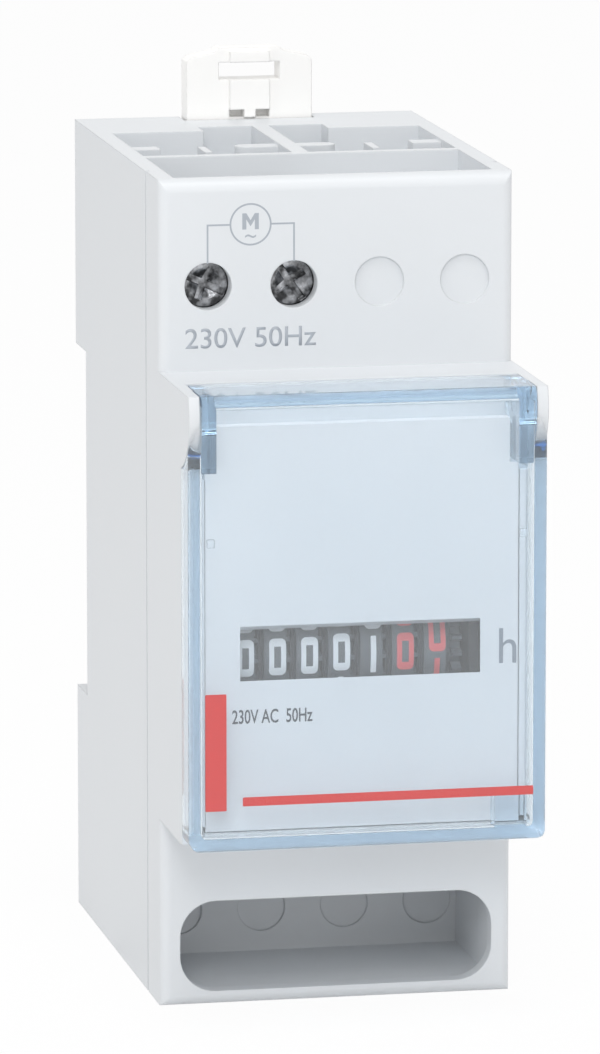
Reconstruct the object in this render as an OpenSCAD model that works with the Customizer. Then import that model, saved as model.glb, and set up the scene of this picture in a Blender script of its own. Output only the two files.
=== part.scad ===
// Two-module hour meter for a 35 mm top-hat rail. Lengths are in millimetres.
// The origin is the middle of the rail seat: X runs along the rail, -Y faces the reader, Z is up.

/* [Body] */
// Width of the housing, two modules
body_w = 35.6; // [35:0.1:37]
// Height of the housing
body_h = 83; // [82:0.5:86]
// Depth of the housing behind the rail plane
rear_overhang = 4; // [3.8:0.1:4.6]
// Rail plane to the joint of base and front shell
seam_depth = 37; // [36.8:0.1:37.6]
// Rail plane to the terminal shoulders
shoulder_depth = 44; // [43.8:0.1:44.6]
// Rail plane to the front of the closed cover
cover_depth = 60; // [59.8:0.1:62]
// Height of the raised nose
nose_h = 45; // [45:0.1:45.6]
// Thickness of the outer walls
wall = 1.8; // [1.6:0.1:2]
// Thickness of the nose walls
nose_wall = 1.2; // [1:0.1:1.3]
// Thickness of inner walls and floors
inner_wall = 1.2; // [1:0.1:1.3]
// Radius of the top front edge
top_edge_r = 1.3; // [0.8:0.1:1.8]
// Radius of the other front edges
front_edge_r = 1; // [0.6:0.1:1.2]
// Depth of the groove along the joint
seam_groove = 0.4; // [0.3:0.05:0.5]
// Width of the groove along the joint
seam_groove_w = 0.5; // [0.4:0.05:0.6]

/* [Rail channel] */
// Height of the rail
rail_h = 35; // [34.8:0.1:35.2]
// Thickness of the rail sheet
rail_sheet = 1; // [0.8:0.1:1.2]
// Free height above and below the rail
rail_play = 0.6; // [0.4:0.1:0.7]
// Depth of the channel in front of the rail plane
channel_relief = 2; // [1.5:0.1:2.2]
// Overlap of hook and clip behind the rail
hook_bite = 2.2; // [1.8:0.1:2.6]
// Half width of the fixed hook
hook_half_w = 7; // [6:0.5:8]
// Inner edge of each seat rib
seat_x = 9; // [8.5:0.5:10]
// Width of each seat rib
seat_w = 5; // [4:0.5:5.5]
// Gap between rail sheet and hook
hook_gap = 0.15; // [0.1:0.05:0.25]

/* [Rail clip] */
// Width of the clip
clip_w = 13.2; // [12.6:0.1:13.6]
// Front face of the clip behind the rail plane
clip_front = 0.95; // [0.9:0.05:1.05]
// Clearance between clip and its channel
clip_gap = 0.25; // [0.2:0.05:0.3]
// Height of the clip above the housing
clip_rise = 7.4; // [7:0.1:8]
// Width of the clip's sloped shoulders
clip_slope_w = 3; // [2.4:0.1:3.2]
// Drop of the clip's sloped shoulders
clip_slope_h = 0.5; // [0.3:0.1:0.8]
// Chamfer at the outer ends of the clip's shoulders
clip_corner = 0.5; // [0.3:0.1:0.7]
// Height of the lip on the clip's top
clip_lip_h = 0.4; // [0.2:0.05:0.5]
// Reach of each side wing
wing_reach = 1.2; // [1:0.1:1.4]
// Thickness of the side wings
wing_t = 1.35; // [1.1:0.05:1.5]
// Height of the side wings
wing_h = 15; // [12:0.5:16]
// Distance from the rail channel to the side wings
wing_set = 2; // [1.5:0.1:2.5]
// Travel of the clip when it lets go of the rail
clip_travel = 4; // [3.6:0.1:4.4]
// Width of the screwdriver slot in the clip
clip_slot_w = 6.4; // [5.4:0.1:7]
// Height of the screwdriver slot in the clip
clip_slot_h = 1.8; // [1.4:0.1:2]
// Top of the clip to the middle of its slot
clip_slot_drop = 2.4; // [2.2:0.1:2.8]
// Width of the raised middle strip
clip_strip_w = 4.2; // [3.4:0.1:5]
// Height of the raised middle strip
clip_strip_t = 0.4; // [0.2:0.05:0.5]
// Depth of the two notches at the strip's foot
clip_notch = 1.2; // [0.8:0.1:1.4]

/* [Top trough and pockets] */
// Depth of the trough and pockets below the top
trough_depth = 5.5; // [5.2:0.1:6]
// Rail plane to the cross wall's front face
cross_depth = 27; // [26.8:0.1:27.2]
// Thickness of the cross wall
cross_t = 1.3; // [1:0.1:1.4]
// Rail plane to the rear edge of the pockets
pocket_back = 8; // [7.5:0.1:9]
// Rail plane to the rear edge of the middle bay
bay_back = 4.8; // [4.4:0.1:5.4]
// Half width of the middle bay
bay_half_w = 6.5; // [6:0.1:7]
// Thickness of the middle rib
rib_t = 1.7; // [1.2:0.1:2]
// Thickness of the posts in the pockets
post_t = 0.8; // [0.6:0.1:1]
// Length of the posts in the pockets
post_l = 4.2; // [3.5:0.1:4.6]
// Rail plane to the middle of the stubs in the pockets
stub_depth = 17.8; // [17:0.1:18.4]
// Thickness of the stubs in the pockets
stub_t = 2.4; // [2:0.1:2.8]
// Distance from the top of the housing to the stubs
stub_drop = 0.3; // [0.2:0.1:0.6]
// Reach of the stubs at the side walls
side_stub = 3; // [2:0.5:3.5]
// Reach of the stubs at the middle rib
mid_stub = 4.3; // [3:0.1:5]

/* [Lower bay] */
// Width of the slot window
slot_w = 31.7; // [30.5:0.1:32]
// Height of the slot window
slot_h = 9.2; // [8.8:0.1:9.4]
// Corner radius of the slot window
slot_r = 3.6; // [2.5:0.1:4]
// Height of the slot's lower edge above the bottom
slot_rise = 1.4; // [1.35:0.05:1.6]
// Floor thickness under the bay
bay_floor_t = 1.3; // [1.2:0.05:1.3]
// Height of the bay
bay_h = 12; // [11.5:0.1:12.2]

/* [Terminals] */
// Margin beside the outer terminal positions
terminal_edge = 0.6; // [0.5:0.1:0.9]
// Height of the terminal row above the rail centre
terminal_z = 30.9; // [30.7:0.1:31]
// Diameter of the screw access holes
access_d = 4.7; // [4.2:0.1:4.9]
// Diameter of the blanked positions
blank_d = 4.9; // [4.4:0.1:5.2]
// Depth of the blanked positions
blank_depth = 0.25; // [0.15:0.05:0.4]
// Diameter of the screw heads
screw_head_d = 5.4; // [5.1:0.1:5.8]
// Height of the screw heads
screw_head_h = 2; // [1.8:0.1:2.1]
// Chamfer round the screw heads
screw_rim = 0.4; // [0.3:0.05:0.5]
// Diameter of the screw shanks
screw_d = 3.5; // [3.2:0.1:3.6]
// Travel of the clamping cage
cage_travel = 4.2; // [4:0.1:4.3]
// Gap between an outer cage and the side wall
cage_gap = 0.3; // [0.2:0.05:0.4]
// Height of the clamping cage
cage_h = 6.6; // [6.2:0.1:6.8]
// Side wall thickness of the cage
cage_side_t = 0.6; // [0.5:0.05:0.6]
// Thickness of the cage's threaded wall
cage_front_t = 1.4; // [1.2:0.1:1.4]
// Thickness of the cage's clamping wall
cage_rear_t = 1; // [0.8:0.05:1]
// Thickness of the contact tags
tag_t = 0.8; // [0.6:0.05:0.8]
// Gap between a contact tag and the cage's side walls
tag_gap = 0.2; // [0.15:0.05:0.4]
// Thread clearance between screw and cage
thread_gap = 0.08; // [0.05:0.01:0.1]

/* [Cover] */
// Thickness of the cover
cover_t = 1.2; // [1:0.05:1.3]
// Depth of the cover's side walls
cover_side = 4.3; // [4.1:0.1:4.5]
// Gap between cover rim and nose rim
lid_gap = 0.2; // [0.15:0.05:0.3]
// Radius of the cover's edges
cover_edge_r = 1; // [0.6:0.1:1.1]
// Hinge axis behind the cover's front
hinge_set = 5.6; // [5.5:0.05:5.8]
// Hinge axis below the top of the nose
hinge_drop = 2.2; // [2.1:0.05:2.4]
// Radius of the hinge ears
ear_r = 5.4; // [5.2:0.05:5.4]
// Thickness of the hinge ears
ear_t = 1.1; // [0.9:0.05:1.1]
// Clearance round the hinge ears
ear_gap = 0.25; // [0.2:0.05:0.3]
// Radius of the hinge pins
pin_r = 1; // [0.8:0.05:1.1]
// Running clearance of the hinge pins
pin_gap = 0.06; // [0.04:0.01:0.1]
// Wall left outside the hinge pins
pin_skin = 0.35; // [0.25:0.05:0.4]
// Wall thickness of the hinge trough
hinge_trough_t = 0.8; // [0.7:0.05:1]
// Thickness of the hinge arms
arm_t = 1.5; // [1.3:0.05:1.6]
// Height of the hinge arms
arm_h = 7.6; // [6.8:0.1:8]
// Gap between the hinge arms and the dial plate
arm_gap = 0.3; // [0.2:0.05:0.4]
// Cover side to the latch block
latch_set = 1.9; // [1.6:0.1:2.2]
// Width of the latch block
latch_w = 3.2; // [2.8:0.1:3.6]
// Height of the latch block
latch_h = 4.6; // [4:0.1:5]
// Height of the small stops above the rail centre
stop_z = 8; // [6:0.1:9]
// Height of each small stop
stop_h = 0.8; // [0.6:0.1:1]

/* [Dial plate] */
// Gap between dial plate and nose walls
dial_side_gap = 1; // [0.8:0.1:1.2]
// Overlap of dial plate and its ledges
ledge_bite = 0.6; // [0.4:0.1:0.7]
// Cover front to the dial plate's front
dial_set = 4; // [3.8:0.1:4.2]
// Thickness of the dial plate
dial_t = 1.5; // [1.2:0.1:1.6]
// Distance from the dial plate's top to the nose top
dial_top_gap = 3.5; // [3.4:0.1:4]
// Distance from the dial plate's foot to the nose bottom
dial_foot_gap = 1.4; // [1.35:0.05:1.8]
// Overlap of the window's left edge and the first number ring
window_lap = 0.2; // [0.1:0.05:0.3]
// Reach of the window past the right frame plate's inner face
window_reach = 0.8; // [0.4:0.1:0.9]
// Lower edge of the counter window
window_foot = -6.2; // [-6.6:0.1:-6]
// Upper edge of the counter window
window_top = -1.4; // [-1.6:0.1:-1.1]
// Height of the bevel above the window
window_bevel = 0.6; // [0.4:0.1:0.8]
// Widening of the window behind its foot and its right edge
window_draft = 0.9; // [0.6:0.1:1.1]

/* [Counter] */
// Radius of the number drums
drum_r = 7; // [6.9:0.05:7.1]
// Gap between number rings
ring_gap = 1; // [1:0.05:1.1]
// Gap between the left frame plate and the first drum
drum_left_room = 0.45; // [0.35:0.05:0.55]
// Room for the drive wheel beside the last drum
drive_room = 1.45; // [1.4:0.05:1.55]
// Gap from dial plate to drums
drum_set = 1.5; // [1.4:0.1:1.8]
// Height of the drum axis
drum_z = -4.5; // [-4.7:0.1:-4.3]
// Radius of the drum shaft
drum_shaft_r = 0.75; // [0.7:0.01:0.78]
// Radius of the pinion shaft
pinion_shaft_r = 0.6; // [0.55:0.01:0.62]
// Running clearance on the shafts
shaft_gap = 0.05; // [0.03:0.01:0.07]
// Width of the drums' toothed rings
tooth_ring_w = 0.45; // [0.4:0.01:0.45]
// Width of the transfer pinions
pinion_w = 0.8; // [0.7:0.01:0.82]
// Tooth module of drums and transfer pinions
carry_module = 0.6; // [0.59:0.01:0.6]
// Direction of the pinion shaft seen from the drum shaft
pinion_angle = -50; // [-54:1:-46]
// Gap between the dial ledge and the left frame plate
frame_gap = 0.7; // [0.6:0.05:0.8]
// Room for the drive gears outside the right frame plate
gear_room = 3; // [2.8:0.05:3.2]
// Reach of the frame plates below the drum shaft
plate_foot = 14; // [13.5:0.1:14.4]
// Reach of the frame plates above the drum shaft
plate_head = 16; // [15.5:0.1:16.4]
// Reach of the frame plates behind the drum shaft
plate_reach = 12; // [11.6:0.1:12.4]
// Thickness of the frame plates
plate_t = 1; // [0.9:0.05:1]
// Radius of the pillars
pillar_r = 1.2; // [1:0.1:1.4]
// Distance of the pillars from the plates' edges
pillar_inset = 2.5; // [2:0.1:2.8]

/* [Drive] */
// Tooth module of the drive gears
drive_module = 0.5; // [0.49:0.01:0.5]
// Direction of the intermediate gear seen from the drum shaft
drive_angle = 20; // [18:1:22]
// Direction of the motor pinion seen from the intermediate gear
motor_angle = 16; // [13:1:18]
// Radius of the motor can
can_r = 12.2; // [11.5:0.1:12.4]
// Length of the motor can
can_l = 14; // [12:0.5:15]
// Offset of the motor shaft from the can's middle
shaft_offset = 5.1; // [4.8:0.1:5.4]
// Thickness of the motor flange
flange_t = 0.8; // [0.6:0.05:0.8]
// Radius of the motor shaft
motor_shaft_r = 0.8; // [0.7:0.01:0.85]
// Radius of the boss round the motor shaft
motor_boss_r = 2; // [1.8:0.05:2.1]
// Radius of the motor screws
motor_screw_r = 1; // [0.8:0.05:1.1]
// Radius of the motor screws' heads
motor_head_r = 1.8; // [1.5:0.05:2]
// Height of the motor screws' heads
motor_head_h = 1; // [0.8:0.05:1.2]
// Distance from the can to the motor screws
screw_set = 2; // [1.9:0.05:2.1]
// Half width of the flange's screw ears
flange_ear = 2.5; // [2.2:0.1:2.8]
// Plate edge beyond the motor screws
plate_margin = 3; // [2.6:0.1:3.2]
// Radius of the intermediate gear's journal
journal_r = 1.5; // [1.3:0.05:1.6]
// Thickness of the drive gears
drive_w = 1; // [0.8:0.05:1]
// Width of the coil terminal block
coil_w = 8; // [7:0.1:9]
// Depth of the coil terminal block
coil_d = 5; // [4.4:0.1:5.4]
// Height of the coil terminal block above the can
coil_rise = 2; // [1.6:0.1:2.4]
// Distance between the leads on the coil terminal block
lead_spread = 3.6; // [3:0.1:4.4]
// Radius of the lead wires
lead_r = 0.6; // [0.5:0.05:0.65]

/* [Hidden] */
$fn = 64;
half_w = body_w / 2;
top_z = body_h / 2;
nose_z = nose_h / 2;
inner_x = half_w - wall;
seam_y = -seam_depth;
shoulder_y = -shoulder_depth;
face_y = shoulder_y + wall;
cover_y = -cover_depth;
cover_rim_y = cover_y + cover_side;
nose_rim_y = cover_rim_y + lid_gap;
channel_z = rail_h / 2 + rail_play;
hook_z = rail_h / 2 - hook_bite;
hook_y = rail_sheet + hook_gap;
room_back_y = -channel_relief - wall;
cross_y = -cross_depth;
cross_back_y = cross_y + cross_t;
trough_z = top_z - trough_depth;
ceiling_z = trough_z - inner_wall;
mid_stub_x = rib_t / 2 + mid_stub - stub_t / 2;
shelf_z = terminal_z - cage_h / 2 - 1.8;
shelf_foot_z = shelf_z - inner_wall;
bay_floor_z = -top_z + bay_floor_t;
bay_top_z = bay_floor_z + bay_h;
room_foot_z = bay_top_z + inner_wall;
blank_z = -top_z + 5.8;
seam_tuck = 0.2;

terminal_pitch = (body_w - 2 * terminal_edge) / 4;
terminals = [-1.5 * terminal_pitch, -0.5 * terminal_pitch];
blanks = [0.5 * terminal_pitch, 1.5 * terminal_pitch];
head_y = face_y + 0.2;
shank_y = head_y + screw_head_h;
cage_y = shank_y + 0.2 + cage_travel;
cage_back_y = cross_y - 0.4;
tag_y = cage_y + cage_front_t + 0.5;
tag_foot_z = shelf_foot_z - 2.8;
wire_front_y = tag_y + tag_t;
wire_back_y = cage_back_y - cage_rear_t;
cage_w = 2 * (inner_x - 1.5 * terminal_pitch - cage_gap);
wire_half_w = cage_w / 2 - cage_side_t;
tag_w = 2 * (wire_half_w - tag_gap);

clip_back = rear_overhang - 0.25;
clip_top_z = top_z + clip_rise;
wing_foot_z = channel_z + wing_set;
wing_top_z = wing_foot_z + wing_h;
clip_slot_z = clip_top_z - clip_slot_drop;
clip_lip_z = clip_top_z - clip_lip_h;
clip_strip_z = top_z + 1;

hinge_y = cover_y + hinge_set;
hinge_z = nose_z - hinge_drop;
top_wall_back_y = hinge_y + 2;
top_wall_back = top_wall_back_y - hinge_y;
nose_top_y = hinge_y + 2.9;
hinge_trough_y = hinge_y + norm([top_wall_back, hinge_drop]) + ear_gap;
hinge_trough_z = hinge_z - top_wall_back - ear_gap;
ear_front_y = cover_y + 0.2;
nose_inner_x = half_w - nose_wall;
ear_inner_x = half_w - ear_t;
arm_x = nose_inner_x - 0.1;
arm_room_x = arm_x - arm_t - arm_gap;
arm_room_z = nose_z - arm_h - 1;
notch_r = ear_r + ear_gap;
notch_x = ear_inner_x - 0.15;
notch_z = hinge_z - sqrt(notch_r * notch_r - hinge_set * hinge_set);

dial_y = cover_y + dial_set;
dial_back_y = dial_y + dial_t;
dial_top_z = nose_z - dial_top_gap;
dial_foot_z = -nose_z + dial_foot_gap;
dial_half_w = nose_inner_x - dial_side_gap;
ledge_x = dial_half_w - ledge_bite;

drum_y = dial_back_y + drum_set + drum_r;
drum_count = 7;
plate_left = frame_gap + plate_t - ledge_x;
plate_right = ledge_x - gear_room - plate_t;
drum_pitch = (plate_right - plate_left - drum_left_room - drive_room) / drum_count;
drum_first_x = plate_left + drum_left_room + drum_pitch / 2;
ring_w = drum_pitch - ring_gap;
window_left = drum_first_x - ring_w / 2 + window_lap;
window_right = plate_right + window_reach;
drum_names = [
    "drum_10000h", "drum_1000h", "drum_100h", "drum_10h", "drum_1h", "drum_tenths", "drum_hundredths"
];
pinion_names = [for (i = [1:drum_count - 1]) str("transfer_pinion_", i)];
drum_hub_w = drum_pitch - 0.2;
drum_teeth = 20;
pinion_teeth = 8;
addendum = 0.8;
dedendum = 1.1;
carry_reach = (drum_teeth + pinion_teeth) * carry_module / 2;
pinion_y = drum_y + carry_reach * cos(pinion_angle);
pinion_z = drum_z + carry_reach * sin(pinion_angle);
pinion_tip_r = (pinion_teeth / 2 + addendum) * carry_module;
carry_r = carry_reach - pinion_tip_r - 0.3;
last_x = drum_first_x + (drum_count - 1) * drum_pitch;

wheel_teeth = 24;
inter_pinion_teeth = 16;
inter_wheel_teeth = 40;
motor_teeth = 10;
inter_reach = (wheel_teeth + inter_pinion_teeth) * drive_module / 2;
inter_y = drum_y + inter_reach * cos(drive_angle);
inter_z = drum_z + inter_reach * sin(drive_angle);
motor_reach = (inter_wheel_teeth + motor_teeth) * drive_module / 2;
motor_y = inter_y + motor_reach * cos(motor_angle);
motor_z = inter_z + motor_reach * sin(motor_angle);
can_y = motor_y + shaft_offset;
can_z = motor_z;
plate_outer = plate_right + plate_t;
flange_x = plate_right - flange_t;
can_x = flange_x - can_l;
gear_play = 0.2;
screw_reach = can_r + screw_set;
pillar_back_y = drum_y + plate_reach - pillar_inset;
pillars = [
    [drum_y - pillar_inset, drum_z + plate_head - 2 * pillar_inset],
    [pillar_back_y, drum_z + plate_head - pillar_inset],
    [pillar_back_y, drum_z + pillar_inset - plate_foot]
];
coil_top_z = can_z + can_r + coil_rise;
coil_y = can_y - 1;

grey = "#d3d7da";
white = "#f4f4f1";
black = "#1c1c1e";
steel = "#8d9094";
brass = "#c2a25a";

// Box between two corners.
module block(lo, hi) {
    translate(lo)
        cube(hi - lo);
}

// Round bar along X.
module rod_x(r, x0, x1, y, z) {
    translate([x0, y, z])
        rotate([0, 90, 0])
            cylinder(r = r, h = x1 - x0);
}

// Round bar along Y.
module rod_y(r, y0, y1, x, z) {
    translate([x, y1, z])
        rotate([90, 0, 0])
            cylinder(r = r, h = y1 - y0);
}

// Side view in Y and Z, drawn out along X.
module slab_x(x0, x1) {
    translate([x0, 0, 0])
        rotate([90, 0, 90])
            linear_extrude(x1 - x0)
                children();
}

// Front view in X and Z, drawn out along Y.
module slab_y(y0, y1) {
    translate([0, y1, 0])
        rotate([90, 0, 0])
            linear_extrude(y1 - y0)
                children();
}

// Top view in X and Y, drawn out along Z.
module slab_z(z0, z1) {
    translate([0, 0, z0])
        linear_extrude(z1 - z0)
            children();
}

// Flat rectangle between two corners.
module rect(lo, hi) {
    translate(lo)
        square(hi - lo);
}

// What a rounded corner takes away, for a corner that points to side [dx, dy].
module corner_cut(at, dx, dy, r) {
    difference() {
        translate([dx > 0 ? at.x - r : at.x - 0.1, dy > 0 ? at.y - r : at.y - 0.1])
            square(r + 0.1);
        translate([at.x - dx * r, at.y - dy * r])
            circle(r);
    }
}

// Rectangle with four rounded corners.
module soft_rect(lo, hi, r) {
    rect([lo.x + r, lo.y], [hi.x - r, hi.y]);
    rect([lo.x, lo.y + r], [hi.x, hi.y - r]);
    for (x = [lo.x + r, hi.x - r], y = [lo.y + r, hi.y - r])
        translate([x, y])
            circle(r);
}

// The same piece on the right and the left.
module both_sides() {
    children();
    mirror([1, 0, 0])
        children();
}

// Outline of a gear whose first tooth points in direction turn.
function gear_outline(teeth, gear_module, turn) = [
    for (i = [0:teeth - 1], p = [[-dedendum, -0.5], [0, -0.4], [addendum, -0.2],
                                 [addendum, 0.2], [0, 0.4], [-dedendum, 0.5]])
        let (a = turn + (i + p[1] / 2) * 360 / teeth, r = (teeth / 2 + p[0]) * gear_module)
            [r * cos(a), r * sin(a)]
];

// Toothed disc across X with its axis at y, z.
module gear(teeth, gear_module, turn, x0, x1, y, z) {
    translate([0, y, z])
        slab_x(x0, x1)
            polygon(gear_outline(teeth, gear_module, turn));
}

// Outer form of the base, with a groove at the joint.
module base_block() {
    slab_z(-top_z, top_z)
        polygon([
            [-half_w, rear_overhang],
            [half_w, rear_overhang],
            [half_w, seam_y + seam_groove_w],
            [half_w - seam_groove, seam_y + seam_groove_w],
            [half_w - seam_groove, seam_y],
            [seam_groove - half_w, seam_y],
            [seam_groove - half_w, seam_y + seam_groove_w],
            [-half_w, seam_y + seam_groove_w]
        ]);
}

// Rooms and openings of the base.
module base_hollows() {
    block([-inner_x, cross_back_y, room_foot_z], [inner_x, room_back_y, ceiling_z]);
    block([-inner_x, seam_y - 1, room_foot_z], [inner_x, cross_back_y + 0.01, shelf_foot_z]);
    block([-inner_x, seam_y - 1, shelf_z], [inner_x, cross_y, ceiling_z]);
    block([-inner_x, seam_y - 1, trough_z], [inner_x, cross_y, top_z + 1]);
    block([-inner_x, seam_y - 1, bay_floor_z], [inner_x, cross_y, bay_top_z]);
    both_sides() {
        block([rib_t / 2, cross_back_y, trough_z], [inner_x, -pocket_back, top_z + 1]);
        block([rib_t / 2, -pocket_back - 1, trough_z], [bay_half_w, -bay_back, top_z + 1]);
    }
    block([-half_w - 1, -channel_relief, -channel_z], [half_w + 1, rear_overhang + 1, channel_z]);
    for (x = concat(terminals, blanks))
        rod_y(blank_d / 2, cross_y - 1, cross_y + blank_depth, x, blank_z);
    terminal_cuts();
    clip_channel();
}

// Wire holes above the terminals and slots for the tags below them.
module terminal_cuts() {
    for (x = terminals) {
        block([x - wire_half_w, wire_front_y, ceiling_z - 1], [x + wire_half_w, wire_back_y, trough_z + 1]);
        block(
            [x - tag_w / 2 - 0.1, tag_y - 0.1, shelf_foot_z - 1],
            [x + tag_w / 2 + 0.1, tag_y + tag_t + 0.1, shelf_z + 1]
        );
    }
}

// Channel for the rail clip, with grooves for its wings.
module clip_channel() {
    slot_x = clip_w / 2 + clip_gap;
    block([-slot_x, clip_front - clip_gap, channel_z - 1], [slot_x, rear_overhang + 1, top_z + 1]);
    block(
        [-slot_x - wing_reach, clip_front - clip_gap, wing_foot_z],
        [slot_x + wing_reach, clip_front + wing_t + clip_gap, wing_top_z + clip_travel + clip_gap]
    );
}

// Seat ribs and lower hook for the rail.
module rail_seat() {
    both_sides()
        block([seat_x, -channel_relief - 0.5, -channel_z - 0.5], [seat_x + seat_w, 0, channel_z + 0.5]);
    slab_x(-hook_half_w, hook_half_w)
        polygon([
            [hook_y, -channel_z - 0.5],
            [rear_overhang, -channel_z - 0.5],
            [rear_overhang, -hook_z - 1.2],
            [rear_overhang - 1.2, -hook_z],
            [hook_y, -hook_z]
        ]);
}

// Stubs and posts in the top pockets and walls between the terminals.
module base_ribs() {
    both_sides() {
        slab_z(trough_z - 0.3, top_z - stub_drop) {
            rect([inner_x - side_stub, -stub_depth - stub_t / 2], [inner_x + 0.3, -stub_depth + stub_t / 2]);
            rect([rib_t / 2 - 0.3, -stub_depth - stub_t / 2], [mid_stub_x, -stub_depth + stub_t / 2]);
            translate([mid_stub_x, -stub_depth])
                circle(stub_t / 2);
            translate([terminal_pitch - post_t / 2, -stub_depth - 2 - post_l / 2])
                square([post_t, post_l]);
        }
    }
    for (x = [-terminal_pitch, 0, terminal_pitch])
        block(
            [x - inner_wall / 2, seam_y + seam_tuck, shelf_z - 0.3],
            [x + inner_wall / 2, cross_y + 0.3, ceiling_z + 0.3]
        );
}

module base_housing() {
    color(grey) {
        difference() {
            base_block();
            base_hollows();
        }
        rail_seat();
        base_ribs();
    }
}

// Outer form of the shoulders, rounded at the front.
module shoulder_block() {
    intersection() {
        slab_x(-half_w, half_w)
            difference() {
                rect([shoulder_y, -top_z], [seam_y, top_z]);
                corner_cut([shoulder_y, top_z], -1, 1, top_edge_r);
                corner_cut([shoulder_y, -top_z], -1, -1, front_edge_r);
            }
        slab_z(-top_z, top_z)
            difference() {
                rect([-half_w, shoulder_y], [half_w, seam_y]);
                corner_cut([half_w, shoulder_y], 1, -1, front_edge_r);
                corner_cut([-half_w, shoulder_y], -1, -1, front_edge_r);
            }
    }
}

// Nose with its hinge ears, still solid.
module nose_block() {
    block([-half_w, nose_rim_y, -nose_z], [half_w, shoulder_y + 1, nose_z]);
    both_sides()
        slab_x(ear_inner_x, half_w)
            intersection() {
                translate([hinge_y, hinge_z])
                    circle(ear_r);
                rect([ear_front_y, -nose_z], [shoulder_y, nose_z]);
            }
}

// Rooms and openings of the front shell.
module front_hollows() {
    block([-inner_x, face_y, shelf_z], [inner_x, seam_y + 1, ceiling_z]);
    block([-inner_x, face_y, trough_z], [inner_x, seam_y + 1, top_z + 1]);
    block([-inner_x, face_y, bay_floor_z], [inner_x, seam_y + 1, bay_top_z]);
    block([-inner_x, face_y, room_foot_z], [inner_x, seam_y + 1, shelf_foot_z]);
    block(
        [-nose_inner_x, nose_rim_y - 1, nose_wall - nose_z],
        [nose_inner_x, face_y + 1, nose_z - nose_wall]
    );
    block([-nose_inner_x, nose_rim_y - 1, 0], [nose_inner_x, nose_top_y, nose_z + 1]);
    slab_y(shoulder_y - 1, face_y + 1)
        soft_rect(
            [-slot_w / 2, -top_z + slot_rise],
            [slot_w / 2, -top_z + slot_rise + slot_h],
            slot_r
        );
    terminal_cuts();
    for (x = terminals)
        rod_y(access_d / 2, shoulder_y - 1, face_y + 1, x, terminal_z);
    for (x = blanks)
        rod_y(blank_d / 2, shoulder_y - 1, shoulder_y + blank_depth, x, terminal_z);
    rod_x(pin_r + pin_gap, pin_skin - half_w, half_w - pin_skin, hinge_y, hinge_z);
}

// Side view of a trough wall behind the hinge, with its floor at height z.
module trough_profile(z) {
    polygon([
        [dial_back_y, z],
        [hinge_trough_y, z],
        [hinge_trough_y, nose_z - nose_wall / 2],
        [hinge_trough_y + hinge_trough_t, nose_z - nose_wall / 2],
        [hinge_trough_y + hinge_trough_t, z - hinge_trough_t],
        [dial_back_y, z - hinge_trough_t]
    ]);
}

// Trough that the cover's top wall swings into, deeper at both ends for the arms.
module hinge_trough() {
    slab_x(-arm_room_x, arm_room_x)
        trough_profile(hinge_trough_z);
    both_sides() {
        slab_x(arm_room_x - hinge_trough_t, nose_inner_x + 0.3)
            trough_profile(arm_room_z);
        block(
            [arm_room_x - hinge_trough_t, dial_back_y, arm_room_z - hinge_trough_t],
            [arm_room_x, hinge_trough_y + hinge_trough_t, hinge_trough_z]
        );
    }
}

// Top view of the strip that frames and backs the dial plate on the right.
module dial_rebate() {
    polygon([
        [ledge_x, dial_back_y],
        [dial_half_w + 0.1, dial_back_y],
        [dial_half_w + 0.1, dial_y],
        [nose_inner_x - lid_gap, dial_y],
        [nose_inner_x - lid_gap, nose_rim_y],
        [nose_inner_x + 0.3, nose_rim_y],
        [nose_inner_x + 0.3, dial_back_y + dial_t],
        [ledge_x, dial_back_y + dial_t]
    ]);
}

module front_shell() {
    color(grey) {
        difference() {
            union() {
                shoulder_block();
                nose_block();
            }
            front_hollows();
        }
        both_sides()
            slab_z(dial_foot_z + 0.5, arm_room_z)
                dial_rebate();
        hinge_trough();
    }
}

// Window in the dial plate, with a bevel above it and thin edges at its foot and right.
module window_cut() {
    deep_y = dial_back_y + dial_t / 3;
    intersection() {
        slab_x(window_left, window_right + 2 * window_draft)
            polygon([
                [dial_y - dial_t / 3, window_foot],
                [dial_y - dial_t / 3, window_top + window_bevel * 4 / 3],
                [dial_back_y, window_top],
                [deep_y, window_top],
                [deep_y, window_foot - window_draft * 4 / 3],
                [dial_y, window_foot]
            ]);
        slab_z(window_foot - 2 * window_draft, window_top + 2 * window_bevel)
            polygon([
                [window_left, dial_y - dial_t / 3],
                [window_right, dial_y - dial_t / 3],
                [window_right, dial_y],
                [window_right + window_draft * 4 / 3, deep_y],
                [window_left, deep_y]
            ]);
    }
}

module dial_plate() {
    color(white)
        difference() {
            block([-dial_half_w, dial_y, dial_foot_z], [dial_half_w, dial_back_y, dial_top_z]);
            window_cut();
            both_sides()
                block(
                    [arm_room_x, dial_y - 1, nose_z - arm_h - arm_gap],
                    [half_w, dial_back_y + 1, nose_z]
                );
        }
}

// Outer form of the cover, rounded at the front.
module cover_block(x, front, z, r) {
    intersection() {
        slab_x(-x, x)
            difference() {
                rect([front, -z], [cover_rim_y, z]);
                corner_cut([front, z], -1, 1, r);
                corner_cut([front, -z], -1, -1, r);
            }
        slab_z(-z, z)
            difference() {
                rect([-x, front], [x, cover_rim_y]);
                corner_cut([x, front], 1, -1, r);
                corner_cut([-x, front], -1, -1, r);
            }
        slab_y(front, cover_rim_y)
            soft_rect([-x, -z], [x, z], r + 0.3);
    }
}

// Hinge arm and pin on the right.
module cover_arm() {
    slab_x(arm_x - arm_t, arm_x) {
        rect([cover_y + cover_t / 2, nose_z - arm_h], [hinge_y, nose_z - cover_t / 2]);
        translate([hinge_y, hinge_z])
            circle(hinge_drop - 0.05);
    }
    rod_x(pin_r, arm_x - 0.5, half_w - pin_skin - 0.15, hinge_y, hinge_z);
}

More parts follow.
